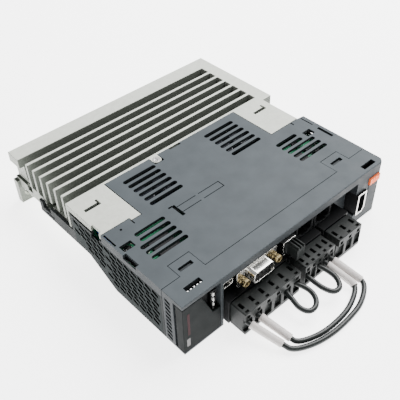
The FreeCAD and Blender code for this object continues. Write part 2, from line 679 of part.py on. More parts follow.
def network_jack(x_start):
    """Eight-way jack with a stepped mouth."""
    x = (x_start, x_start + 15.0)
    body = block(x, (2.5, 12.0), (21.4, 34.0))
    mouth = block((x[0] + 1.6, x[1] - 1.6), (1.0, 10.0), (24.0, 31.4))
    key = block((x[0] + 4.6, x[1] - 4.6), (1.0, 10.0), (22.6, 24.5))
    return body.cut(mouth).cut(key)


def encoder_shell():
    """Bright rim and sleeve of the encoder connector, with one sloping lower corner."""
    outline = [(141.6, 8.8), (147.4, 8.8), (149.8, 11.8), (149.8, 25.4), (141.6, 25.4)]
    inset = [(142.7, 9.9), (146.9, 9.9), (148.7, 12.2), (148.7, 24.3), (142.7, 24.3)]
    return front_prism(outline, (-1.4, 9.0)).cut(front_prism(inset, (-2.0, 10.0)))


def encoder_insulator():
    block_outline = [(142.8, 10.0), (146.8, 10.0), (148.6, 12.3), (148.6, 24.2), (142.8, 24.2)]
    core = joined([front_prism(block_outline, (4.8, 11.0)),
                   block((143.6, 148.6), (10.5, 20.0), (POWER_BOARD_Z[1], 23.4))])
    return cut_all(core, [rod((x, 4.0, z), (0, 1, 0), 0.5, 3.0)
                          for x in (144.8, 147.2) for z in (14.0, 16.5, 19.0, 21.5)])


# ---- power connectors ---------------------------------------------------------------------
def plug_span(index):
    poles = POWER_POLES[index]
    return poles[0] - PLUG_MARGIN[0], poles[-1] + PLUG_MARGIN[1]


def header_span(index):
    span = plug_span(index)
    return span[0] - 1.0, span[1] + 1.0


def power_header(index):
    """Board socket: a shroud that the plug's tongue slides into."""
    x = header_span(index)
    body = block(x, (HEADER_FRONT, 15.4), (2.6, 20.6))
    cavity = block((x[0] + 1.0, x[1] - 1.0), (HEADER_FRONT - 1.0, 8.2), (3.9, 18.9))
    bores = [block((pole - 0.5, pole + 0.5), (8.0, 16.0), (ENTRY_Z - 0.5, ENTRY_Z + 0.5))
             for pole in POWER_POLES[index]]
    return cut_all(body.cut(cavity), bores)


def header_pins():
    """Contact blades of the three power sockets, bent up to the power board."""
    pins = []
    for poles in POWER_POLES.values():
        for pole in poles:
            x = (pole - 0.5, pole + 0.5)
            z = (ENTRY_Z - 0.5, ENTRY_Z + 0.5)
            pins.append(joined([block(x, (0.5, 18.6), z),
                                block(x, (17.6, 18.6), (z[0], POWER_BOARD_Z[0]))]))
    for x in (9.6, 11.8, 14.0, 16.2, 18.4):
        pins.append(block((x - 0.5, x + 0.5), (5.8, 6.9), (36.8, 38.9)))
    return group(pins)


def power_plug(index):
    """Wired plug half: body, tongue, wire mouths, release slots and test points."""
    x = plug_span(index)
    body = rounded(block(x, PLUG_Y, PLUG_Z), 0.6, lambda edge: runs_along(edge, 1))
    tongue = block((x[0] + 0.5, x[1] - 0.5), (PLUG_Y[1] - 0.5, TONGUE_BACK), (4.4, 18.4))
    poles = POWER_POLES[index]
    wide = poles[1] - poles[0] > 6.0
    half_slot, half_mouth, half_test = (0.95, 2.7, 1.1) if wide else (0.85, 2.0, 0.9)
    top_z = (16.0, 20.0)
    front_y = PLUG_FRONT - 1.0
    cutters = []
    for pole in poles:
        cutters += [
            block((pole - half_slot, pole + half_slot), (-9.9, -5.9), (13.6, 20.0)),
            block((pole - half_test, pole + half_test), (-13.2, -11.8), top_z),
            block((pole - half_mouth, pole + half_mouth), (front_y, PLUG_FRONT + ENTRY_DEPTH),
                  (5.0, ENTRY_TOP)),
            block((pole - 1.2, pole + 1.2), (front_y, PLUG_FRONT + 1.6), (14.9, 17.2)),
            block((pole - 0.8, pole + 0.8), (-1.5, 8.0), (ENTRY_Z - 0.8, ENTRY_Z + 0.8))]
    return cut_all(joined([body, tongue]), cutters)


def clamp_springs(indexes):
    """Leaf springs seen down the release slots of the plugs."""
    springs = []
    for index in indexes:
        for pole in POWER_POLES[index]:
            springs.append(end_prism([(-9.8, 13.6), (-9.3, 13.6), (-6.3, 17.2), (-6.8, 17.2)],
                                     (pole - 0.6, pole + 0.6)))
    return group(springs)


# ---- wires --------------------------------------------------------------------------------
LINK_WIRE_B = [(33.25, WIRE_START_Y, ENTRY_Z), (42.2, -37.8, 2.2), (54.0, -43.2, 1.7),
               (67.0, -45.4, 1.7), (80.5, -45.2, 1.7), (94.0, -43.4, 1.7), (107.0, -36.2, 2.2),
               (101.32, WIRE_START_Y, ENTRY_Z)]
LINK_WIRE_A = [(40.93, WIRE_START_Y, ENTRY_Z), (47.3, -36.6, 2.6), (60.5, -41.2, 1.7),
               (74.5, -42.0, 1.7), (88.0, -40.4, 1.7), (101.6, -34.0, 2.2),
               (96.24, WIRE_START_Y, ENTRY_Z)]
JUMPER_WIRE_1 = [(63.97, WIRE_START_Y, ENTRY_Z), (63.2, -18.2, 9.2), (62.0, -24.6, 7.8),
                 (64.9, -30.0, 6.9), (71.2, -29.6, 7.0), (75.2, -24.6, 8.0),
                 (75.0, -17.8, 9.4), (71.65, WIRE_START_Y, ENTRY_Z)]
JUMPER_WIRE_2 = [(81.0, WIRE_START_Y, ENTRY_Z), (81.2, -18.2, 9.4), (82.2, -24.8, 8.0),
                 (85.2, -30.4, 7.0), (90.8, -30.4, 6.9), (94.2, -24.8, 7.8),
                 (93.3, -17.8, 9.5), (91.16, WIRE_START_Y, ENTRY_Z)]


def wire_path(name, route):
    """Straight runs joined by tangent arcs, each arc as large as its two runs allow."""
    points = [Vector(*point) for point in route]
    edges, radii, length = [], [], 0.0
    start = points[0]
    for before, corner, after in zip(points, points[1:], points[2:]):
        back = (before - corner).normalize()
        ahead = (after - corner).normalize()
        half_turn = (math.pi - back.getAngle(ahead)) / 2
        trim = ARC_SHARE * min((corner - before).Length, (after - corner).Length)
        radius = trim / math.tan(half_turn)
        bisector = (back + ahead).normalize()
        middle = corner + bisector * (radius / math.cos(half_turn) - radius)
        enter, leave = corner + back * trim, corner + ahead * trim
        edges += [Part.LineSegment(start, enter).toShape(),
                  Part.Arc(enter, middle, leave).toShape()]
        length += (enter - start).Length + 2 * half_turn * radius
        radii.append(round(radius, 1))
        start = leave
    edges.append(Part.LineSegment(start, points[-1]).toShape())
    length += (points[-1] - start).Length
    print(name, "radii", radii, "length", round(length, 1))
    return Part.Wire(edges), length


def wire_tube(name, route):
    path, length = wire_path(name, route)
    start = Vector(*route[0])
    heading = Vector(*route[1]) - start
    ring = Part.Wire([Part.makeCircle(WIRE_R, start, heading)])
    tube = path.makePipeShell([ring], True, False)
    expected = math.pi * WIRE_R ** 2 * length
    print(name, "volume against section times length", round(tube.Volume / expected, 4))
    return tube


def marker_sleeves(route):
    """Printed-marker sleeves, left plain, over the first stretch at both ends of a wire."""
    sleeves = []
    for gap, (end, corner, after) in zip(SLEEVE_STARTS, (route[:3], route[:-4:-1])):
        origin, corner, after = Vector(*end), Vector(*corner), Vector(*after)
        first_run, second_run = (corner - origin).Length, (after - corner).Length
        straight = first_run - ARC_SHARE * min(first_run, second_run)
        heading = (corner - origin).normalize()
        start = origin + heading * gap
        length = straight - gap - 0.1
        tube = Part.makeCylinder(SLEEVE_R, length, start, heading)
        bore = Part.makeCylinder(SLEEVE_BORE_R, length + 2.0, start - heading, heading)
        sleeves.append(tube.cut(bore))
    return group(sleeves)


# ---- all pieces ---------------------------------------------------------------------------
def all_pieces():
    pieces = {
        "heatsink_casting": heatsink_casting(),
        "cover_screw": cover_screw(),
        "side_cover": side_cover(),
        "case_base": case_base(),
        "top_end_grille": end_grille(0),
        "bottom_end_grille": end_grille(1),
        "front_bezel": front_bezel(),
        "display_door": display_door(),
        "door_hinge_pin": door_hinge_pin(),
        "operator_panel": operator_panel(),
        "display_module": display_module(),
        "dip_switch_body": dip_switch_body(),
        "release_tab": release_tab(),
        "control_board": control_board(),
        "control_board_parts": control_board_parts(),
        "power_board": power_board(),
        "power_board_parts": power_board_parts(),
        "board_link": board_link(),
        "board_standoffs": board_standoffs(),
        "board_screws": board_screws(),
        "bus_capacitors": bus_capacitors(),
        "power_module": power_module(),
        "thermal_pad": thermal_pad(),
        "inrush_relay": inrush_relay(),
        "transformer": transformer(),
        "usb_socket": usb_socket(),
        "usb_insulator": usb_insulator(),
        "dsub_shell": dsub_shell(),
        "dsub_insulator": dsub_insulator(),
        "jack_posts": jack_posts(),
        "safety_header": safety_header(),
        "safety_plug": safety_plug(),
        "network_jack_in": network_jack(88.0),
        "network_jack_out": network_jack(104.0),
        "encoder_shell": encoder_shell(),
        "encoder_insulator": encoder_insulator(),
        "header_pins": header_pins(),
        "clamp_springs_wired": clamp_springs((1, 2)),
        "clamp_springs_motor": clamp_springs((3,)),
        "link_wire_inner": wire_tube("link_wire_inner", LINK_WIRE_A),
        "link_wire_outer": wire_tube("link_wire_outer", LINK_WIRE_B),
        "jumper_wire_1": wire_tube("jumper_wire_1", JUMPER_WIRE_1),
        "jumper_wire_2": wire_tube("jumper_wire_2", JUMPER_WIRE_2),
        "marker_sleeves_inner": marker_sleeves(LINK_WIRE_A),
        "marker_sleeves_outer": marker_sleeves(LINK_WIRE_B),
    }
    for number, z in enumerate(KEY_Z, start=1):
        pieces[f"menu_key_{number}"] = menu_key(z)
    for number, z in enumerate(LEVER_Z, start=1):
        pieces[f"dip_lever_{number}"] = dip_lever(z)
    for index in POWER_POLES:
        pieces[f"power_header_{index}"] = power_header(index)
        pieces[f"power_plug_{index}"] = power_plug(index)
    return pieces


def main():
    os.makedirs("parts", exist_ok=True)
    for name, shape in all_pieces().items():
        shape.translate(-BASE_CENTRE)
        shape.exportStep(f"parts/{name}.step")
        print(name, "solids", len(shape.Solids), "valid", shape.isValid())


main()
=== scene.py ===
"""Servo drive lying on its side on a pale floor, with its wired power plugs in place.

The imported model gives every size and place. Each sub-assembly below is a class that holds its
own sizes, makes its pieces over that frame and dresses them.
"""

import json
import logging
import math
from dataclasses import dataclass, field
from enum import Enum
from typing import Iterable, Sequence

import bmesh
import bpy
from mathutils import Matrix, Vector

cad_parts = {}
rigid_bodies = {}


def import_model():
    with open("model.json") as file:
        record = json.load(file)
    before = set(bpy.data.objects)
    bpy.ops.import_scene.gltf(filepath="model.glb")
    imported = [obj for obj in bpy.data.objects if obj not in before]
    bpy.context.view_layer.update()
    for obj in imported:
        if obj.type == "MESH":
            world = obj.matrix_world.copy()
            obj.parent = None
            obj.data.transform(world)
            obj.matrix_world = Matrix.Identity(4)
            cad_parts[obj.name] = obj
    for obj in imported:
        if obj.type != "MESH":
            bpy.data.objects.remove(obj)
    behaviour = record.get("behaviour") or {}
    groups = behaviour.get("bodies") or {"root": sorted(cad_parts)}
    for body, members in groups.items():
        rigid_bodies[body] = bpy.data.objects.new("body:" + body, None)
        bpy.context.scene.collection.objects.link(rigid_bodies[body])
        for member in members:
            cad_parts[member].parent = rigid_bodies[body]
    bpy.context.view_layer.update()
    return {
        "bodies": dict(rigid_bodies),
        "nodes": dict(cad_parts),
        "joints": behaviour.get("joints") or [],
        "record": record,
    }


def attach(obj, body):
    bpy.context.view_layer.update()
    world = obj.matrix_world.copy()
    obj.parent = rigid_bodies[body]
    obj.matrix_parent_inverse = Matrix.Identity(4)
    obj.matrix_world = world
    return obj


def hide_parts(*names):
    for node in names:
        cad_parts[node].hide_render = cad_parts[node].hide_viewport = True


LOG = logging.getLogger("servo_drive")
Rgb = tuple[float, float, float]
Point = tuple[float, float, float]
MM = 0.001
LARGE_FACE = 4e-6
SQUARE_ON = 0.9999
SHARP_TURN = math.radians(32)
WELD = 1e-6
CURVE_STEPS = 16
SLEEVE_STEPS = 12
COAT_ROUGHNESS = 0.18
FLOOR_REACH = 3000.0
FLOOR_DEPTH = 20.0
CORNER = Vector((-84.0, -78.0, 0.0))


def from_corner(x: float, y: float, z: float) -> Vector:
    """Turn millimetres from the case's front top corner into metres in the frame.

    Args:
        x: Distance down the drive's height.
        y: Distance back from the front face.
        z: Height above the floor.

    Returns:
        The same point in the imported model's frame.
    """
    return (CORNER + Vector((x, y, z))) * MM


class Axis(Enum):
    """The frame's axes by their index."""

    DOWN_DRIVE = 0
    TO_BACK = 1
    UP = 2


# ---- finishes -----------------------------------------------------------------------------
class Graph:
    """Short hand for building one material's nodes."""

    def __init__(self, name: str) -> None:
        """Start a material with a shader wired to its output.

        Args:
            name: Material name.
        """
        self.material = bpy.data.materials.new(name)
        self.material.use_nodes = True
        self.tree = self.material.node_tree
        self.shader = self.tree.nodes["Principled BSDF"]
        self.place = self.add("ShaderNodeTexCoord").outputs["Object"]

    def add(self, kind: str, **values: object) -> bpy.types.Node:
        """Add a node.

        Args:
            kind: Blender's node type name.
            **values: Attributes set on the node.

        Returns:
            The new node.
        """
        node = self.tree.nodes.new(kind)
        for key, value in values.items():
            setattr(node, key, value)
        return node

    def feed(self, socket: bpy.types.NodeSocket, value: object) -> None:
        """Link a socket or set its value.

        Args:
            socket: Input to fill.
            value: An output socket, or a plain value.
        """
        if isinstance(value, bpy.types.NodeSocket):
            self.tree.links.new(value, socket)
        else:
            socket.default_value = value

    def stretched(self, scale: Sequence[float]) -> bpy.types.NodeSocket:
        """Object coordinates scaled by axis, for grain that runs one way.

        Args:
            scale: Factor on each axis.

        Returns:
            The scaled coordinates.
        """
        mapping = self.add("ShaderNodeMapping")
        self.feed(mapping.inputs["Vector"], self.place)
        mapping.inputs["Scale"].default_value = tuple(scale)
        return mapping.outputs["Vector"]

    def noise(self, size_mm: float, detail: float = 3.0, roughness: float = 0.55,
              vector: bpy.types.NodeSocket | None = None) -> bpy.types.NodeSocket:
        """Soft noise of a real size.

        Args:
            size_mm: Width of its lumps.
            detail: Octaves.
            roughness: Share kept by each finer octave.
            vector: Coordinates, or the object's own.

        Returns:
            The noise value socket.
        """
        node = self.add("ShaderNodeTexNoise")
        self.feed(node.inputs["Vector"], vector or self.place)
        node.inputs["Scale"].default_value = 1.0 / (size_mm * MM)
        node.inputs["Detail"].default_value = detail
        node.inputs["Roughness"].default_value = roughness
        return node.outputs["Fac"]

    def ramp(self, value: bpy.types.NodeSocket, low: float, high: float, start: float = 0.0,
             end: float = 1.0) -> bpy.types.NodeSocket:
        """Remap a value from one range to another, clamped.

        Args:
            value: Value to remap.
            low: Value that gives the start.
            high: Value that gives the end.
            start: Result at the low value.
            end: Result at the high value.

        Returns:
            The remapped value socket.
        """
        node = self.add("ShaderNodeMapRange", clamp=True)
        for key, number in (("From Min", low), ("From Max", high), ("To Min", start),
                            ("To Max", end)):
            node.inputs[key].default_value = number
        self.feed(node.inputs["Value"], value)
        return node.outputs["Result"]

    def math(self, kind: str, first: object, second: object = 0.0) -> bpy.types.NodeSocket:
        """One arithmetic step.

        Args:
            kind: Name of the operation.
            first: Number or socket.
            second: Number or socket.

        Returns:
            The result's socket.
        """
        node = self.add("ShaderNodeMath", operation=kind)
        self.feed(node.inputs[0], first)
        self.feed(node.inputs[1], second)
        return node.outputs[0]

    def mix(self, share: object, first: object, second: object) -> bpy.types.NodeSocket:
        """Blend two colours.

        Args:
            share: How much of the second colour shows.
            first: Colour or socket.
            second: Colour or socket.

        Returns:
            The blended colour socket.
        """
        node = self.add("ShaderNodeMix", data_type="RGBA")
        self.feed(node.inputs[0], share)
        for index, colour in ((6, first), (7, second)):
            self.feed(node.inputs[index], (*colour, 1.0) if isinstance(colour, tuple) else colour)
        return node.outputs[2]

    def bump(self, height: bpy.types.NodeSocket, depth_mm: float,
             below: bpy.types.NodeSocket | None = None) -> bpy.types.NodeSocket:
        """Surface relief of a real depth, laid over another relief if one is given.

        Args:
            height: Height socket, from 0 to 1.
            depth_mm: Real depth of the whole height.
            below: Normal of the relief that this one lies on.

        Returns:
            The resulting normal socket.
        """
        node = self.add("ShaderNodeBump")
        node.inputs["Distance"].default_value = depth_mm * MM
        self.feed(node.inputs["Height"], height)
        if below is not None:
            self.feed(node.inputs["Normal"], below)
        return node.outputs["Normal"]

    def split(self, vector: bpy.types.NodeSocket, axis: Axis) -> bpy.types.NodeSocket:
        """One component of a vector.

        Args:
            vector: Vector socket.
            axis: Which component.

        Returns:
            The component's socket.
        """
        node = self.add("ShaderNodeSeparateXYZ")
        self.feed(node.inputs[0], vector)
        return node.outputs[axis.value]

    def facing(self, axis: Axis) -> bpy.types.NodeSocket:
        """How far a face's outward normal points along an axis."""
        return self.split(self.add("ShaderNodeNewGeometry").outputs["Normal"], axis)


def shade(colour: Rgb, factor: float) -> Rgb:
    """Lighter or darker version of a colour, at most full white."""
    return tuple(min(1.0, part * factor) for part in colour)


@dataclass(frozen=True)
class Finish:
    """Moulded or painted surface: mottled colour, fine grain and faint handling marks."""

    name: str
    colour: Rgb
    roughness: float = 0.5
    metallic: float = 0.0
    mottle: float = 0.06
    mottle_mm: float = 14.0
    grain_mm: float = 0.45
    grain_depth_mm: float = 0.02
    scuff: float = 0.25
    coat: float = 0.0
    specular: float = 0.2

    def base_colour(self, graph: Graph) -> bpy.types.NodeSocket:
        """Colour with cloudy variation and sparse pale scuffs.

        Args:
            graph: Material being built.

        Returns:
            Colour socket.
        """
        cloud = graph.ramp(graph.noise(self.mottle_mm, 4.0), 0.3, 0.7)
        body = graph.mix(cloud, shade(self.colour, 1.0 - self.mottle),
                         shade(self.colour, 1.0 + self.mottle))
        streaks = graph.noise(3.0, 6.0, 0.7, graph.stretched((1.0, 7.0, 2.0)))
        share = graph.math("MULTIPLY", graph.ramp(streaks, 0.66, 0.74), self.scuff)
        return graph.mix(share, body, shade(self.colour, 1.35))

    def relief(self, graph: Graph) -> bpy.types.NodeSocket:
        """Fine mould grain over very shallow waves.

        Args:
            graph: Material being built.

        Returns:
            Normal socket.
        """
        waves = graph.bump(graph.noise(22.0, 2.0), self.grain_depth_mm * 3.0)
        return graph.bump(graph.noise(self.grain_mm, 4.0, 0.6), self.grain_depth_mm, waves)

    def build(self) -> bpy.types.Material:
        """Make the material.

        Returns:
            The finished material.
        """
        graph = Graph(self.name)
        shader = graph.shader
        graph.feed(shader.inputs["Base Color"], self.base_colour(graph))
        graph.feed(shader.inputs["Normal"], self.relief(graph))
        patches = graph.noise(self.mottle_mm * 0.6, 5.0)
        graph.feed(shader.inputs["Roughness"],
                   graph.ramp(patches, 0.25, 0.75, max(0.03, self.roughness - 0.07),
                              min(1.0, self.roughness + 0.07)))
        shader.inputs["Metallic"].default_value = self.metallic
        shader.inputs["Specular IOR Level"].default_value = self.specular
        shader.inputs["Coat Weight"].default_value = self.coat
        shader.inputs["Coat Roughness"].default_value = COAT_ROUGHNESS
        return graph.material


@dataclass(frozen=True)
class ShellFinish(Finish):
    """Moulded shell: plain top face; painted shade on its walls, seams and inside."""

    # Painted shade: share of the body colour kept on walls, seams and inside.
    painted_wall_shade: float = 0.36
    top_mm: float = 39.7

    def base_colour(self, graph: Graph) -> bpy.types.NodeSocket:
        """Body colour on the top face, painted shade everywhere else.

        Args:
            graph: Material being built.

        Returns:
            Colour socket.
        """
        height = graph.split(graph.place, Axis.UP)
        level = graph.ramp(height, (self.top_mm - 1.0) * MM, self.top_mm * MM)
        share = graph.math("MULTIPLY", level, graph.ramp(graph.facing(Axis.UP), 0.2, 0.8))
        # Painted shade: every face but the top face is darkened by the wall fraction.
        return graph.mix(share, shade(self.colour, self.painted_wall_shade), super().base_colour(graph))


@dataclass(frozen=True)
class GrilleFinish(Finish):
    """Moulded grille: body colour on the outer mesh face, painted shade on the slot walls and
    inside.
    """

    # Painted shade: share of the body colour kept on slot walls and inside.
    painted_slot_shade: float = 0.12

    def base_colour(self, graph: Graph) -> bpy.types.NodeSocket:
        """Body colour on the outer face only, painted shade on the rest.

        Args:
            graph: Material being built.

        Returns:
            Colour socket.
        """
        # Painted shade on every face that does not face out along the drive's height.
        outer = graph.ramp(graph.math("ABSOLUTE", graph.facing(Axis.DOWN_DRIVE)), 0.6, 0.8)
        return graph.mix(outer, shade(self.colour, self.painted_slot_shade), super().base_colour(graph))


@dataclass(frozen=True)
class CastFinish(Finish):
    """Coated die casting: pale worked top faces; elsewhere partly darker coating, partly painted
    shade.
    """

    # Partly a darker coating, partly painted shade, for flanks, ends and channels.
    coating_and_shade_colour: Rgb = (0.038, 0.048, 0.037)
    top_mm: float = 39.2

    def base_colour(self, graph: Graph) -> bpy.types.NodeSocket:
        """Pale top faces; flanks, ends and channels between the fins partly darker coating,
        partly painted shade.

        Args:
            graph: Material being built.

        Returns:
            Colour socket.
        """
        body = super().base_colour(graph)
        height = graph.split(graph.place, Axis.UP)
        depth = graph.ramp(height, 0.020, self.top_mm * MM, 0.0, 1.0)
        upward = graph.ramp(graph.facing(Axis.UP), 0.5, 0.9)
        sideways = graph.ramp(graph.math("ABSOLUTE", graph.facing(Axis.TO_BACK)), 0.5, 0.9)
        speckle = graph.ramp(graph.noise(0.9, 5.0), 0.3, 0.7, -0.06, 0.06)
        channel = graph.math("MULTIPLY", graph.math("SUBTRACT", 1.0, depth), upward)
        flank = graph.math("MULTIPLY", sideways, 0.82)
        endways = graph.ramp(graph.math("ABSOLUTE", graph.facing(Axis.DOWN_DRIVE)), 0.5, 0.9)
        wall = graph.math("MAXIMUM", flank, graph.math("MULTIPLY", endways, 0.5))
        # Painted shade mixed with a darker coating in the channels, on the flanks and on the
        # ends.
        share = graph.math("ADD", graph.math("MAXIMUM", channel, wall), speckle)
        return graph.mix(graph.ramp(share, 0.0, 1.0), body, self.coating_and_shade_colour)

    def relief(self, graph: Graph) -> bpy.types.NodeSocket:
        """Orange-peel coating over long flow marks along the fins.

        Args:
            graph: Material being built.

        Returns:
            Normal socket.
        """
        flow = graph.noise(1.2, 3.0, 0.5, graph.stretched((0.06, 1.0, 1.0)))
        return graph.bump(graph.noise(0.7, 3.0), 0.04, graph.bump(flow, 0.05))


@dataclass(frozen=True)
class PlatedFinish(Finish):
    """Plated or drawn metal with fine lines along one axis."""

    along: Axis = Axis.TO_BACK

    def relief(self, graph: Graph) -> bpy.types.NodeSocket:
        """Drawing lines.

        Args:
            graph: Material being built.

        Returns:
            Normal socket.
        """
        scale = [1.0, 1.0, 1.0]
        scale[self.along.value] = 0.05
        return graph.bump(graph.noise(0.25, 4.0, 0.6, graph.stretched(scale)), 0.012)


@dataclass(frozen=True)
class BoardFinish(Finish):
    """Laminate with solder mask over copper tracks and tinned pads."""

    track: Rgb = (0.05, 0.24, 0.13)
    pad: Rgb = (0.62, 0.60, 0.52)

    def base_colour(self, graph: Graph) -> bpy.types.NodeSocket:
        """Mask colour with tracks under it and round pads.

        Args:
            graph: Material being built.

        Returns:
            Colour socket.
        """
        bricks = graph.add("ShaderNodeTexBrick")
        graph.feed(bricks.inputs["Vector"], graph.place)
        bricks.inputs["Scale"].default_value = 190.0
        bricks.inputs["Mortar Size"].default_value = 0.035
        cells = graph.add("ShaderNodeTexVoronoi")
        graph.feed(cells.inputs["Vector"], graph.place)
        cells.inputs["Scale"].default_value = 260.0
        cells.inputs["Randomness"].default_value = 0.6
        pads = graph.ramp(cells.outputs["Distance"], 0.16, 0.2, 1.0, 0.0)
        tracks = graph.mix(bricks.outputs["Fac"], self.colour, self.track)
        return graph.mix(pads, tracks, self.pad)


@dataclass(frozen=True)
class SleeveFinish(Finish):
    """Slip-on wire marker: pale plastic with faint rings."""

    def relief(self, graph: Graph) -> bpy.types.NodeSocket:
        """Shallow rings from the extruded tube being cut and stretched.

        Args:
            graph: Material being built.

        Returns:
            Normal socket.
        """
        rings = graph.add("ShaderNodeTexWave", bands_direction="Y")
        graph.feed(rings.inputs["Vector"], graph.place)
        rings.inputs["Scale"].default_value = 300.0
        rings.inputs["Distortion"].default_value = 2.0
        return graph.bump(rings.outputs["Fac"], 0.05, graph.bump(graph.noise(0.8), 0.03))


class Shelf:
    """Every finish of the drive, made once and handed out by name."""

    CASTING = CastFinish("casting", (0.60, 0.62, 0.56), 0.55, 0.0, 0.06, 3.0, scuff=0.2)
    CASE = ShellFinish("case_plastic", (0.068, 0.079, 0.087), 0.5, mottle=0.1, specular=0.1)
    # base_plastic is set darker than case_plastic as painted shade on the tray's end faces.
    BASE = ShellFinish("base_plastic", (0.045, 0.052, 0.053), 0.55, specular=0.06)
    GRILLE = GrilleFinish("grille_plastic", (0.022, 0.027, 0.027), 0.6, specular=0.03)
    DOOR = Finish("door_plastic", (0.005, 0.0065, 0.0065), 0.5, mottle=0.04, grain_mm=0.8,
                  grain_depth_mm=0.008, specular=0.03)
    CHARCOAL = Finish("connector_plastic", (0.007, 0.0075, 0.008), 0.5, mottle=0.12,
                      specular=0.1)
    PLUG = Finish("plug_plastic", (0.013, 0.015, 0.0145), 0.42, mottle=0.12, grain_mm=0.3,
                  specular=0.12)
    ORANGE = Finish("orange_plastic", (0.88, 0.16, 0.04), 0.42, mottle=0.05)
    WHITE = Finish("white_plastic", (0.80, 0.80, 0.78), 0.4, mottle=0.03)
    KEY = Finish("key_plastic", (0.42, 0.44, 0.45), 0.45)
    LENS = Finish("display_lens", (0.03, 0.008, 0.008), 0.12, coat=0.5, grain_depth_mm=0.002)
    JACKET = Finish("wire_jacket", (0.011, 0.014, 0.0135), 0.36, mottle=0.2, mottle_mm=5.0,
                    grain_mm=1.4, grain_depth_mm=0.01, specular=0.35)
    SLEEVE = SleeveFinish("sleeve_plastic", (0.62, 0.585, 0.565), 0.42, mottle=0.05,
                          mottle_mm=6.0)
    STEEL = PlatedFinish("steel", (0.60, 0.60, 0.60), 0.35, 1.0, scuff=0.1)
    NICKEL = PlatedFinish("nickel", (0.72, 0.71, 0.68), 0.22, 1.0, scuff=0.1)
    GOLD = PlatedFinish("gold", (0.24, 0.19, 0.10), 0.3, 1.0, scuff=0.1)
    BOARD = BoardFinish("board", (0.02, 0.16, 0.08), 0.35, grain_depth_mm=0.01)
    MOULDING = Finish("component_moulding", (0.02, 0.02, 0.022), 0.5, mottle=0.15)
    CAN = Finish("capacitor_sleeve", (0.02, 0.025, 0.04), 0.25, coat=0.3)
    PAD = Finish("silicone_pad", (0.35, 0.40, 0.50), 0.8)
    RELAY = Finish("relay_plastic", (0.02, 0.06, 0.25), 0.35)
    FERRITE = Finish("ferrite", (0.03, 0.03, 0.032), 0.6, mottle=0.2)
    LABEL = Finish("label_film", (0.16, 0.155, 0.155), 0.5, mottle=0.1, specular=0.05)
    PINK = Finish("marking_film", (0.030, 0.012, 0.014), 0.5, mottle=0.1, specular=0.03)

    def __init__(self) -> None:
        """Start with no material made."""
        self._made: dict[str, bpy.types.Material] = {}

    def take(self, finish: Finish) -> bpy.types.Material:
        """Hand out a finish's material.

        Args:
            finish: Which finish.

        Returns:
            Its material, made at first use.
        """
        if finish.name not in self._made:
            self._made[finish.name] = finish.build()
        return self._made[finish.name]


# ---- meshes -------------------------------------------------------------------------------
class Mesh:
    """A mesh being drawn in millimetres from the case's front top corner."""

    def __init__(self) -> None:
        """Start empty."""
        self.bm = bmesh.new()

    def block(self, low: Point, high: Point) -> list[bmesh.types.BMVert]:
        """Add a box between two corners.

        Args:
            low: Lowest corner.
            high: Highest corner.

        Returns:
            Its vertices.
        """
        made = bmesh.ops.create_cube(self.bm, size=1.0)["verts"]
        lo, hi = from_corner(*low), from_corner(*high)
        size = hi - lo
        for vert in made:
            vert.co = (lo + hi) / 2 + Vector(a * b for a, b in zip(vert.co, size))
        return made

    def tube(self, path: Sequence[Vector], radius: float, bore: float, sides: int = 28) -> None:
        """Add a hollow tube with flat ends along a path.

        Args:
            path: Points along its middle, in metres.
            radius: Outer radius in metres.
            bore: Inner radius in metres.
            sides: Segments around.
        """
        rings: list[list[bmesh.types.BMVert]] = []
        order = [(point, radius) for point in path] + [(point, bore) for point in reversed(path)]
        count = len(path)
        for index, (point, size) in enumerate(order):
            spot = index if index < count else 2 * count - 1 - index
            ahead = path[min(spot + 1, count - 1)] - path[max(spot - 1, 0)]
            turn = ahead.to_track_quat("Z", "Y")
            rings.append([self.bm.verts.new(point + turn @ Vector(
                (math.cos(2 * math.pi * k / sides) * size,
                 math.sin(2 * math.pi * k / sides) * size, 0.0))) for k in range(sides)])
        for first, second in zip(rings, rings[1:] + rings[:1]):
            for k in range(sides):
                self.bm.faces.new((first[k], first[(k + 1) % sides],
                                   second[(k + 1) % sides], second[k]))

    def finish(self, name: str) -> bpy.types.Object:
        """Turn the drawing into an object.

        Args:
            name: Object name.

        Returns:
            The new object, in the scene.
        """
        bmesh.ops.recalc_face_normals(self.bm, faces=self.bm.faces)
        mesh = bpy.data.meshes.new(name)
        self.bm.to_mesh(mesh)
        self.bm.free()
        made = bpy.data.objects.new(name, mesh)
        bpy.context.scene.collection.objects.link(made)
        return made


def soften(piece: bpy.types.Object, edge_mm: float, segments: int = 2) -> None:
    """Round every sharp edge a little, inside the piece's own box, and shade it smooth.

    Args:
        piece: Mesh object.
        edge_mm: Width of the rounding.
        segments: Steps across it.
    """
    corners = [vert.co.copy() for vert in piece.data.vertices]
    limits = [(min(co[axis] for co in corners), max(co[axis] for co in corners))
              for axis in range(3)]
    rounding = piece.modifiers.new("rounding", "BEVEL")
    rounding.width = edge_mm * MM
    rounding.segments = segments
    rounding.limit_method = "ANGLE"
    rounding.angle_limit = SHARP_TURN
    rounding.use_clamp_overlap = False
    rounding.loop_slide = False
    graph = bpy.context.evaluated_depsgraph_get()
    final = bpy.data.meshes.new_from_object(piece.evaluated_get(graph))
    piece.modifiers.clear()
    piece.data = final
    for vert in final.vertices:
        vert.co = [min(max(value, low), high) for value, (low, high) in zip(vert.co, limits)]
    for polygon in final.polygons:
        square_on = max(abs(part) for part in polygon.normal) > SQUARE_ON
        polygon.use_smooth = not square_on and polygon.area < LARGE_FACE


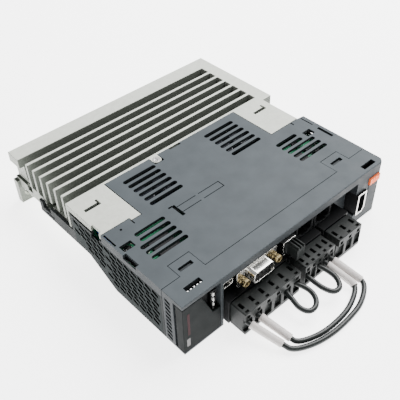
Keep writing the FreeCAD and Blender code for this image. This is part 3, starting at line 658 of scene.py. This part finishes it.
@dataclass
class SubAssembly:
    """Part of the drive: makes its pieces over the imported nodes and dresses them."""

    loaded: dict
    shelf: Shelf
    made: list[bpy.types.Object] = field(default_factory=list)

    def body_of(self, node: str) -> str:
        """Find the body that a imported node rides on.

        Args:
            node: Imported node.

        Returns:
            Name of its body.
        """
        bodies = self.loaded["record"]["behaviour"]["bodies"]
        return next(body for body, nodes in bodies.items() if node in nodes)

    def remake(self, node: str, finish: Finish, edge_mm: float = 0.25,
               segments: int = 2) -> bpy.types.Object:
        """Make a piece in a node's place, with its moulded or cast edges rounded.

        Args:
            node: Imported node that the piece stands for.
            finish: Its surface.
            edge_mm: Width of the rounding.
            segments: Steps across it.

        Returns:
            The new piece.
        """
        shape = bmesh.new()
        shape.from_mesh(self.loaded["nodes"][node].data)
        bmesh.ops.remove_doubles(shape, verts=shape.verts, dist=WELD)
        mesh = bpy.data.meshes.new(node + "_piece")
        shape.to_mesh(mesh)
        shape.free()
        piece = bpy.data.objects.new(node + "_piece", mesh)
        bpy.context.scene.collection.objects.link(piece)
        mesh.materials.clear()
        if edge_mm > 0.0:
            soften(piece, edge_mm, segments)
        return self.settle(piece, finish, node)

    def settle(self, piece: bpy.types.Object, finish: Finish, node: str,
               stands_for: bool = True) -> bpy.types.Object:
        """Dress a piece, let it ride on a node's body and, if asked, hide that node.

        Args:
            piece: The new piece.
            finish: Its surface.
            node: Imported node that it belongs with.
            stands_for: Whether it takes the node's place.

        Returns:
            The same piece.
        """
        piece.data.materials.clear()
        piece.data.materials.append(self.shelf.take(finish))
        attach(piece, self.body_of(node))
        if stands_for:
            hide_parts(node)
        self.made.append(piece)
        return piece

    def remake_all(self, rows: Iterable[tuple[str, Finish, float]]) -> None:
        """Remake several nodes.

        Args:
            rows: Node, finish and edge rounding in millimetres.
        """
        for node, finish, edge_mm in rows:
            self.remake(node, finish, edge_mm)


@dataclass
class Chassis(SubAssembly):
    """Die-cast heatsink with its fins, ears and mounting tabs."""

    edge_mm: float = 0.3

    def build(self) -> None:
        """Make the casting and its cover screw."""
        self.remake("heatsink_casting", Shelf.CASTING, self.edge_mm, 3)
        self.remake("cover_screw", Shelf.STEEL, 0.15)


@dataclass
class CaseShells(SubAssembly):
    """Side cover, tray, end grilles and front bezel."""

    edge_mm: float = 0.2

    def build(self) -> None:
        """Make the plastic shells."""
        self.remake("side_cover", Shelf.CASE, 0.0)
        self.remake("case_base", Shelf.BASE, self.edge_mm)
        self.remake("front_bezel", Shelf.CASE, self.edge_mm)
        self.remake("top_end_grille", Shelf.GRILLE, 0.0)
        self.remake("bottom_end_grille", Shelf.GRILLE, 0.0)


@dataclass
class OperatorPanel(SubAssembly):
    """Hinged door with the display, keys and switches behind it."""

    film: float = 0.06
    stripe: tuple[Point, Point] = ((3.0, 0.0, 14.2), (4.6, 0.0, 31.5))
    label: tuple[Point, Point] = ((2.0, 0.0, 5.4), (4.3, 0.0, 11.5))

    def films(self) -> None:
        """Stick the two plain films on the door: a faint stripe and a blank label."""
        for name, (low, high), finish in (("door_stripe", self.stripe, Shelf.PINK),
                                          ("door_label", self.label, Shelf.LABEL)):
            drawing = Mesh()
            drawing.block((low[0], -self.film, low[2]), (high[0], 0.01, high[2]))
            piece = drawing.finish(name)
            soften(piece, 0.015)
            self.settle(piece, finish, "display_door", stands_for=False)

    def build(self) -> None:
        """Make the door, its plain films and what it covers."""
        self.remake("display_door", Shelf.DOOR, 0.3, 3)
        self.films()
        self.remake_all([("door_hinge_pin", Shelf.STEEL, 0.1),
                         ("operator_panel", Shelf.CHARCOAL, 0.15),
                         ("display_module", Shelf.LENS, 0.2),
                         ("dip_switch_body", Shelf.CHARCOAL, 0.15),
                         ("release_tab", Shelf.ORANGE, 0.25)])
        for number in range(1, 5):
            self.remake(f"menu_key_{number}", Shelf.KEY, 0.2)
            self.remake(f"dip_lever_{number}", Shelf.WHITE, 0.15)


@dataclass
class SignalConnectors(SubAssembly):
    """Connectors in the recess and in the end block."""

    rim_back_mm: float = -0.9

    def build(self) -> None:
        """Make the shells, insulators, posts and the safety plug."""
        self.remake_all([("usb_socket", Shelf.NICKEL, 0.08),
                         ("usb_insulator", Shelf.CHARCOAL, 0.08),
                         ("dsub_shell", Shelf.NICKEL, 0.12),
                         ("dsub_insulator", Shelf.CHARCOAL, 0.12),
                         ("jack_posts", Shelf.GOLD, 0.2),
                         ("safety_header", Shelf.NICKEL, 0.15),
                         ("safety_plug", Shelf.PLUG, 0.25),
                         ("network_jack_in", Shelf.CHARCOAL, 0.2),
                         ("network_jack_out", Shelf.CHARCOAL, 0.2),
                         ("encoder_insulator", Shelf.CHARCOAL, 0.15)])
        self.darken_flanks(self.remake("encoder_shell", Shelf.NICKEL, 0.15))

    def darken_flanks(self, shell: bpy.types.Object) -> None:
        """Leave only the shell's front rim bright and draw the rest of the shell in the dark
        connector plastic.

        Args:
            shell: The encoder connector's shell.
        """
        shell.data.materials.append(self.shelf.take(Shelf.CHARCOAL))
        rim_back = from_corner(0.0, self.rim_back_mm, 0.0).y
        for polygon in shell.data.polygons:
            if polygon.center.y > rim_back:
                polygon.material_index = 1


@dataclass
class PowerConnectors(SubAssembly):
    """Board sockets and their three pluggable terminal blocks."""

    def build(self) -> None:
        """Make the sockets, plugs and the springs inside them."""
        for number in range(1, 4):
            self.remake(f"power_header_{number}", Shelf.CHARCOAL, 0.2)
            self.remake(f"power_plug_{number}", Shelf.PLUG, 0.22)
        self.remake_all([("header_pins", Shelf.STEEL, 0.1),
                         ("clamp_springs_wired", Shelf.NICKEL, 0.1),
                         ("clamp_springs_motor", Shelf.NICKEL, 0.1)])


@dataclass
class Boards(SubAssembly):
    """Both boards and everything on them, as seen through the vents."""

    def build(self) -> None:
        """Make the boards and their parts."""
        self.remake_all([("control_board", Shelf.BOARD, 0.1), ("power_board", Shelf.BOARD, 0.1),
                         ("control_board_parts", Shelf.MOULDING, 0.2),
                         ("power_board_parts", Shelf.MOULDING, 0.3),
                         ("board_link", Shelf.CHARCOAL, 0.2),
                         ("board_standoffs", Shelf.GOLD, 0.15),
                         ("board_screws", Shelf.STEEL, 0.15),
                         ("bus_capacitors", Shelf.CAN, 0.3),
                         ("power_module", Shelf.MOULDING, 0.3), ("thermal_pad", Shelf.PAD, 0.1),
                         ("inrush_relay", Shelf.RELAY, 0.3),
                         ("transformer", Shelf.FERRITE, 0.3)])


# ---- wires --------------------------------------------------------------------------------
@dataclass(frozen=True)
class Wire:
    """A wire's route as the control points of its line, in millimetres from the corner."""

    node: str
    points: tuple[Point, ...]
    sleeves: str | None = None


@dataclass
class LooseWiring(SubAssembly):
    """Link wires with their marker sleeves, and the two short jumpers."""

    radius: float = 1.6
    sleeve_radius: float = 2.3
    sleeve_starts: tuple[float, float] = (3.1, 3.9)
    sleeve_length: float = 19.6
    entry: tuple[float, float] = (-11.8, 10.5)

    def routes(self) -> tuple[Wire, ...]:
        """Lay out the four wires.

        Returns:
            Their routes, from one plug back to a plug.
        """
        y, z = self.entry
        return (
            Wire("link_wire_outer", (
                (33.25, y, z), (40.4, -32.6, 3.8), (42.2, -37.8, 2.2), (54.0, -43.2, 1.7),
                (67.0, -45.4, 1.7), (80.5, -45.2, 1.7), (94.0, -43.4, 1.7),
                (107.0, -36.2, 2.2), (105.6, -29.8, 4.2), (101.32, y, z)),
                "marker_sleeves_outer"),
            Wire("link_wire_inner", (
                (40.93, y, z), (46.0, -31.6, 4.2), (47.3, -36.6, 2.6), (60.5, -41.2, 1.7),
                (74.5, -42.0, 1.7), (88.0, -40.4, 1.7), (101.6, -34.0, 2.2),
                (100.1, -27.8, 4.5), (96.24, y, z)),
                "marker_sleeves_inner"),
            Wire("jumper_wire_1", (
                (63.97, y, z), (63.2, -18.2, 9.2), (62.0, -24.6, 7.8), (64.9, -30.0, 6.9),
                (71.2, -29.6, 7.0), (75.2, -24.6, 8.0), (75.0, -17.8, 9.4), (71.65, y, z))),
            Wire("jumper_wire_2", (
                (81.0, y, z), (81.2, -18.2, 9.4), (82.2, -24.8, 8.0), (85.2, -30.4, 7.0),
                (90.8, -30.4, 6.9), (94.2, -24.8, 7.8), (93.3, -17.8, 9.5), (91.16, y, z))),
        )

    def line(self, wire: Wire) -> bpy.types.Curve:
        """Smooth curve of a wire, with no thickness yet.

        Args:
            wire: Its route.

        Returns:
            The curve data.
        """
        curve = bpy.data.curves.new(wire.node + "_line", "CURVE")
        curve.dimensions = "3D"
        spline = curve.splines.new("NURBS")
        spline.points.add(len(wire.points) - 1)
        for point, place in zip(spline.points, wire.points):
            point.co = (*from_corner(*place), 1.0)
        spline.order_u = 3
        spline.use_endpoint_u = True
        spline.resolution_u = CURVE_STEPS
        curve.resolution_u = CURVE_STEPS
        return curve

    def trace(self, curve: bpy.types.Curve) -> list[Vector]:
        """Points along a curve that has no thickness.

        Args:
            curve: The curve data.

        Returns:
            Points in metres, in order.
        """
        bare = bpy.data.objects.new("trace", curve)
        bpy.context.scene.collection.objects.link(bare)
        graph = bpy.context.evaluated_depsgraph_get()
        mesh = bpy.data.meshes.new_from_object(bare.evaluated_get(graph))
        points = [vert.co.copy() for vert in mesh.vertices]
        bpy.data.objects.remove(bare)
        bpy.data.meshes.remove(mesh)
        return points

    def stretch(self, points: Sequence[Vector], start: float, length: float) -> list[Vector]:
        """Evenly spaced points of one stretch of a line.

        Args:
            points: The whole line.
            start: Distance along it, in metres.
            length: Length of the stretch, in metres.

        Returns:
            Points along the stretch, both ends included.
        """
        travelled = [0.0]
        for first, second in zip(points, points[1:]):
            travelled.append(travelled[-1] + (second - first).length)
        found = []
        for step in range(SLEEVE_STEPS + 1):
            wanted = start + length * step / SLEEVE_STEPS
            index = max(i for i, far in enumerate(travelled) if far <= wanted)
            index = min(index, len(points) - 2)
            share = (wanted - travelled[index]) / (travelled[index + 1] - travelled[index])
            found.append(points[index].lerp(points[index + 1], share))
        return found

    def sleeves(self, wire: Wire, points: list[Vector]) -> bpy.types.Object:
        """Marker sleeves at both ends of a link wire.

        Args:
            wire: The wire that they are on.
            points: Its line.

        Returns:
            One object holding both sleeves.
        """
        drawing = Mesh()
        for line, start in zip((points, points[::-1]), self.sleeve_starts):
            path = self.stretch(line, start * MM, self.sleeve_length * MM)
            drawing.tube(path, self.sleeve_radius * MM, (self.radius + 0.05) * MM)
        piece = drawing.finish(wire.sleeves + "_piece")
        soften(piece, 0.25)
        return self.settle(piece, Shelf.SLEEVE, wire.sleeves)

    def build(self) -> None:
        for wire in self.routes():
            curve = self.line(wire)
            points = self.trace(curve)
            curve.bevel_depth = self.radius * MM
            curve.bevel_resolution = 6
            curve.use_fill_caps = True
            piece = bpy.data.objects.new(wire.node + "_piece", curve)
            bpy.context.scene.collection.objects.link(piece)
            self.settle(piece, Shelf.JACKET, wire.node)
            carried = [self.sleeves(wire, points)] if wire.sleeves else []


# ---- studio -------------------------------------------------------------------------------
@dataclass
class Studio:
    """Pale floor, soft light and the camera."""

    camera_place: Point = (-118.43, -152.25, 286.55)
    azimuth: float = -41.06
    elevation: float = 42.40
    roll: float = -1.96
    lens: float = 57.08
    floor_grey: float = 0.86
    floor_glow: float = 3.7
    sky: float = 0.5

    def camera(self) -> None:
        """Set up the camera from its bearings."""
        a, e, r = (math.radians(x) for x in (self.azimuth, self.elevation, self.roll))
        back = Vector((math.sin(a) * math.cos(e), -math.cos(a) * math.cos(e), math.sin(e)))
        level = Vector((math.cos(a), math.sin(a), 0.0))
        right = level * math.cos(r) + back.cross(level) * math.sin(r)
        turn = Matrix((right, back.cross(right), back)).transposed().to_4x4()
        data = bpy.data.cameras.new("camera")
        data.lens = self.lens
        data.sensor_width = 36.0
        data.clip_start, data.clip_end = 0.01, 10.0
        rig = bpy.data.objects.new("camera", data)
        bpy.context.scene.collection.objects.link(rig)
        rig.matrix_world = Matrix.Translation(from_corner(*self.camera_place)) @ turn
        bpy.context.scene.camera = rig

    def floor(self) -> None:
        """Lay a wide plain floor."""
        drawing = Mesh()
        drawing.block((-FLOOR_REACH, -FLOOR_REACH, -FLOOR_DEPTH), (FLOOR_REACH, FLOOR_REACH, 0.0))
        slab = drawing.finish("floor")
        graph = Graph("floor_paper")
        tone = graph.ramp(graph.noise(60.0, 3.0), 0.3, 0.7, 0.985, 1.0)
        grey = (self.floor_grey,) * 3
        graph.feed(graph.shader.inputs["Base Color"], graph.mix(tone, shade(grey, 0.96), grey))
        graph.shader.inputs["Emission Color"].default_value = (1.0, 1.0, 1.0, 1.0)
        graph.shader.inputs["Emission Strength"].default_value = self.floor_glow
        graph.shader.inputs["Roughness"].default_value = 0.9
        slab.data.materials.append(graph.material)

    def lamp(self, name: str, place: Point, size: float, power: float, aim: Point) -> None:
        """Hang a square soft light.

        Args:
            name: Light name.
            place: Where it hangs, in metres.
            size: Side of the square, in metres.
            power: Watts.
            aim: Point that it faces, in metres.
        """
        data = bpy.data.lights.new(name, "AREA")
        data.shape = "SQUARE"
        data.size = size
        data.energy = power
        lamp = bpy.data.objects.new(name, data)
        bpy.context.scene.collection.objects.link(lamp)
        lamp.location = place
        way = Vector(aim) - Vector(place)
        lamp.rotation_euler = way.to_track_quat("-Z", "Y").to_euler()

    def build(self) -> None:
        """Set the whole stage."""
        world = bpy.data.worlds.new("studio")
        world.use_nodes = True
        sky = world.node_tree.nodes["Background"]
        sky.inputs["Color"].default_value = (1.0, 1.0, 1.0, 1.0)
        sky.inputs["Strength"].default_value = self.sky
        bpy.context.scene.world = world
        self.lamp("key", (0.8, 0.1, 1.05), 1.1, 52.0, (0.0, 0.0, 0.0))
        self.floor()
        self.camera()


def main(loaded: dict) -> None:
    """Build the drive piece by piece, then the studio.

    Args:
        loaded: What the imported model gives.
    """
    logging.basicConfig(level=logging.INFO, format="%(message)s")
    shelf = Shelf()
    for kind in (LooseWiring, Chassis, CaseShells, OperatorPanel, SignalConnectors,
                 PowerConnectors, Boards):
        part = kind(loaded, shelf)
        part.build()
        for piece in part.made:
            LOG.info("%s: %s", kind.__name__, piece.name)
    Studio().build()


if __name__ == "__main__":
    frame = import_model()
    main(frame)
